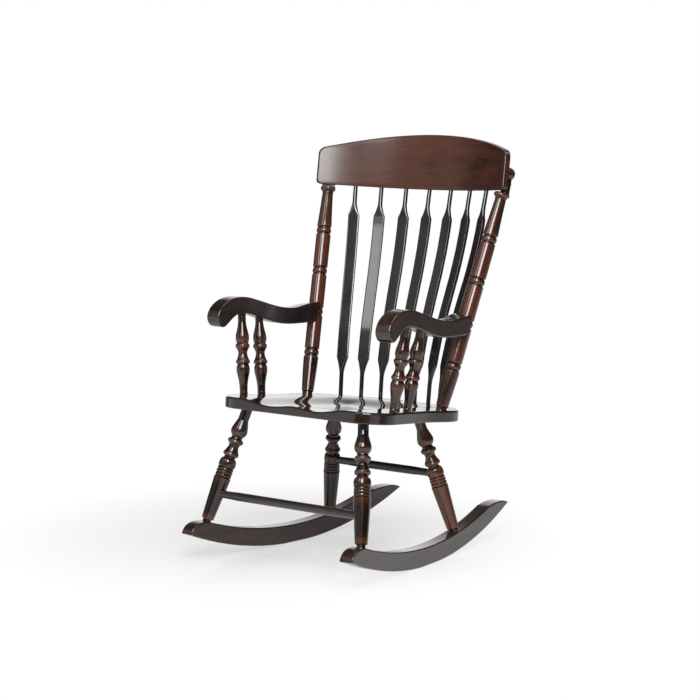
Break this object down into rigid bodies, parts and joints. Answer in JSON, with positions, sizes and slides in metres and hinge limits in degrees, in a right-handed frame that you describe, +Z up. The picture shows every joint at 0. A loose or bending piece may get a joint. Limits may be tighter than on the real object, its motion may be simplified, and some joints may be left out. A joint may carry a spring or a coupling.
{
  "type": "rocking chair",
  "caption": "Wooden rocking chair with a saddle seat, scrolled arms, turned legs and back posts, flat bowed slats and an arched crest rail, on bow-shaped rockers.",
  "frame": {"origin": "on the floor, at the middle of the footprint of the two rockers", "axes": "+Z up, the sitter faces -Y, +X is the sitter's left"},
  "size_m": [0.6582, 0.8314, 1.1347],
  "materials": {
    "planks": "dark red-brown stained wood under gloss lacquer",
    "arms_and_rockers": "dark brown stained wood under gloss lacquer",
    "turnings": "turned wood, red-brown stain rubbed darker in the grooves, gloss lacquer",
    "slats": "near-black stained wood under gloss lacquer",
    "plugs": "stained wood plugs, satin",
    "screws": "plain zinc"
  },
  "bodies": {
    "root": {"seat": "planks", "crest_rail": "planks", "rocker_left": "arms_and_rockers", "arm_left": "arms_and_rockers", "back_post_left": "turnings", "leg_front_left": "turnings", "arm_spindle_front_left": "turnings", "rocker_screw_front_left": "screws", "rocker_plug_front_left": "plugs", "leg_rear_left": "turnings", "arm_spindle_rear_left": "turnings", "rocker_screw_rear_left": "screws", "rocker_plug_rear_left": "plugs", "crest_screw_left": "screws", "crest_plug_left": "plugs", "arm_screw_left": "screws", "arm_plug_left": "plugs", "rocker_right": "arms_and_rockers", "arm_right": "arms_and_rockers", "back_post_right": "turnings", "leg_front_right": "turnings", "arm_spindle_front_right": "turnings", "rocker_screw_front_right": "screws", "rocker_plug_front_right": "plugs", "leg_rear_right": "turnings", "arm_spindle_rear_right": "turnings", "rocker_screw_rear_right": "screws", "rocker_plug_rear_right": "plugs", "crest_screw_right": "screws", "crest_plug_right": "plugs", "arm_screw_right": "screws", "arm_plug_right": "plugs", "stretcher_front": "turnings", "stretcher_rear": "turnings", "slat_1": "slats", "slat_2": "slats", "slat_3": "slats", "slat_4": "slats", "slat_5": "slats", "slat_6": "slats", "slat_7": "slats"}
  },
  "joints": []
}
